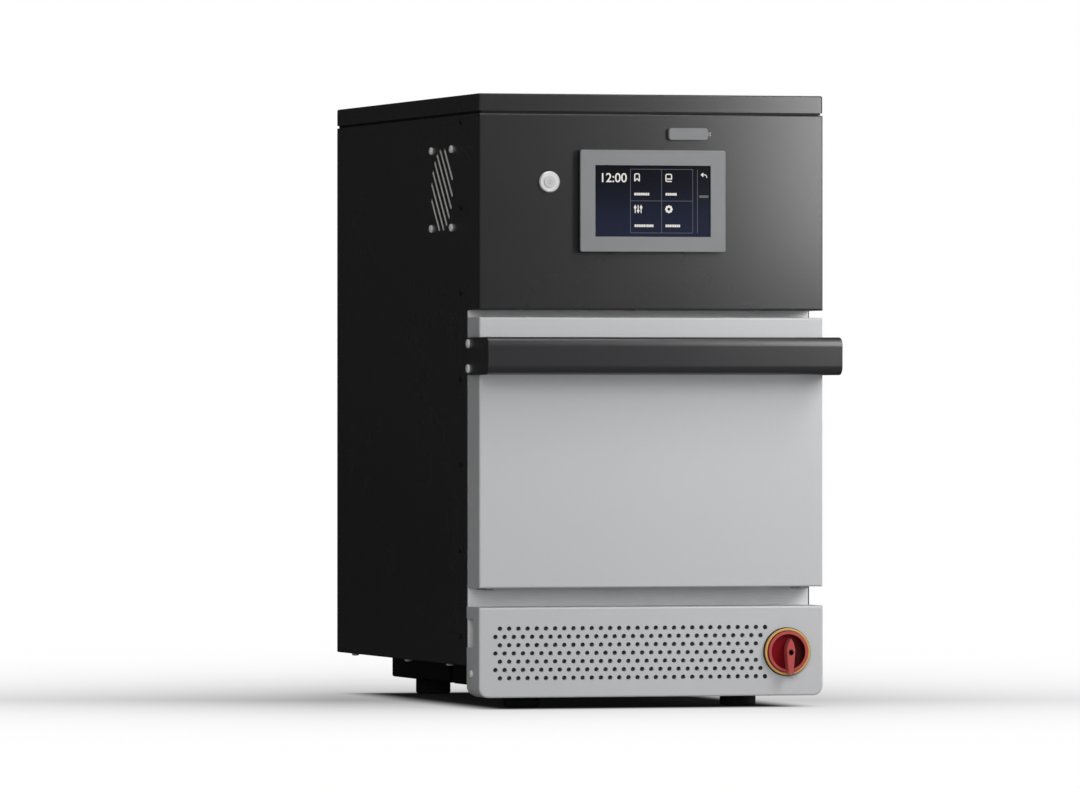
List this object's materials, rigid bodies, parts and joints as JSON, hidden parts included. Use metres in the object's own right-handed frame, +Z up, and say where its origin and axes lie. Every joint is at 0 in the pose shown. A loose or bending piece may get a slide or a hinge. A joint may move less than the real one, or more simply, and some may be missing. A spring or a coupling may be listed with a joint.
{
  "type": "compact rapid-cook countertop oven",
  "caption": "Tall compact oven with a drop-down door and full-width bar handle, touch screen, push button, perforated lower panel and rotary isolator.",
  "frame": {"origin": "on the floor under the middle of the whole oven, handle and cable gland included", "axes": "+X to the right seen from the front, +Y from the front to the rear, +Z up"},
  "size_m": [0.3902, 0.676, 0.6431],
  "materials": {
    "silver_paint": "satin",
    "black_powder_coat": "satin",
    "bare_steel": "satin",
    "cavity_steel": "satin",
    "black_paint": "matte",
    "handle_grey": "satin",
    "plated_screw": "polished",
    "fan_aluminium": "satin",
    "filter_mesh": "matte",
    "ceramic_wool": "matte",
    "catalyst": "matte",
    "cordierite": "matte",
    "heater_sheath": "matte",
    "black_plastic": "matte",
    "grey_plastic": "matte",
    "button_cap": "satin",
    "screen_glass": "gloss",
    "circuit_board": "satin",
    "isolator_yellow": "satin",
    "isolator_red": "satin",
    "silicone": "matte",
    "rubber_foot": "matte",
    "cast_part": "matte",
    "transformer_core": "satin",
    "gland_nylon": "satin"
  },
  "bodies": {
    "casing": {"top_cover": "black_powder_coat", "roof_tray": "black_powder_coat", "left_side_panel": "black_powder_coat", "right_side_panel": "black_powder_coat", "base_chassis": "bare_steel", "plinths": "black_paint", "feet": "rubber_foot", "front_frame": "bare_steel", "rear_panel": "black_powder_coat", "control_fascia": "black_powder_coat", "lower_front_panel": "silver_paint", "lower_panel_brackets": "bare_steel", "air_filter": "filter_mesh", "pan_head_screws": "plated_screw", "small_casing_screws": "black_paint", "display_bezel": "grey_plastic", "touch_screen": "screen_glass", "control_board": "circuit_board", "power_button_bezel": "plated_screw", "usb_port": "plated_screw", "usb_cover_hinge": "plated_screw", "isolator_collar": "black_plastic", "isolator_ring": "isolator_yellow", "isolator_body": "black_plastic", "hinge_brackets": "bare_steel", "door_switches": "black_plastic", "cavity": "cavity_steel", "cavity_insulation": "ceramic_wool", "air_baffle": "cavity_steel", "catalytic_converter": "catalyst", "ceramic_plate": "cordierite", "wire_rack": "plated_screw", "ring_heater": "heater_sheath", "convection_motor": "cast_part", "waveguide": "bare_steel", "stirrer_motor": "bare_steel", "magnetron": "fan_aluminium", "hv_transformer": "transformer_core", "hv_capacitor": "fan_aluminium", "electronics_shelf": "bare_steel", "power_board": "circuit_board", "exhaust_duct": "bare_steel", "fan_frames": "cast_part", "cable_gland": "gland_nylon"},
    "door": {"door_skin": "silver_paint", "door_inner_panel": "cavity_steel", "door_insulation": "ceramic_wool", "door_seal": "silicone", "handle_bar": "handle_grey", "handle_arms": "handle_grey", "handle_screws": "plated_screw", "door_hinges": "bare_steel", "door_hooks": "bare_steel"},
    "power_button": {"power_button": "button_cap"},
    "usb_cover": {"usb_cover": "grey_plastic"},
    "isolator_knob": {"isolator_knob": "isolator_red"},
    "stirrer": {"stirrer": "fan_aluminium"},
    "convection_impeller": {"convection_impeller": "cavity_steel"},
    "left_fan_rotor": {"left_fan_rotor": "fan_aluminium"},
    "rear_fan_rotor": {"rear_fan_rotor": "fan_aluminium"}
  },
  "joints": [
    {"name": "door_hinge", "type": "hinge", "parent": "casing", "child": "door", "pos_m": [0, -0.264, 0.133], "axis": [1, 0, 0], "range_deg": [0, 90], "stiffness_Nm_per_rad": 2.5, "springref_deg": -34.38},
    {"name": "power_button_push", "type": "slide", "parent": "casing", "child": "power_button", "axis": [0, 1, 0], "range_m": [0, 0.0015], "stiffness_N_per_m": 600, "springref_m": -0.0005},
    {"name": "isolator_turn", "type": "hinge", "parent": "casing", "child": "isolator_knob", "pos_m": [0.147, -0.284, 0.0587], "axis": [0, 1, 0], "range_deg": [0, 90]},
    {"name": "usb_cover_swing", "type": "hinge", "parent": "casing", "child": "usb_cover", "pos_m": [0.0621, -0.2863, 0.6018], "axis": [0, 0, 1], "range_deg": [0, 110]},
    {"name": "stirrer_spin", "type": "hinge", "parent": "casing", "child": "stirrer", "pos_m": [0, -0.079, 0.165], "axis": [0, 0, 1], "continuous": true},
    {"name": "convection_spin", "type": "hinge", "parent": "casing", "child": "convection_impeller", "pos_m": [0, 0.11, 0.265], "axis": [0, 1, 0], "continuous": true},
    {"name": "left_fan_spin", "type": "hinge", "parent": "casing", "child": "left_fan_rotor", "pos_m": [-0.174, -0.1325, 0.546], "axis": [1, 0, 0], "continuous": true},
    {"name": "rear_fan_spin", "type": "hinge", "parent": "casing", "child": "rear_fan_rotor", "pos_m": [-0.11, 0.302, 0.112], "axis": [0, 1, 0], "continuous": true}
  ]
}
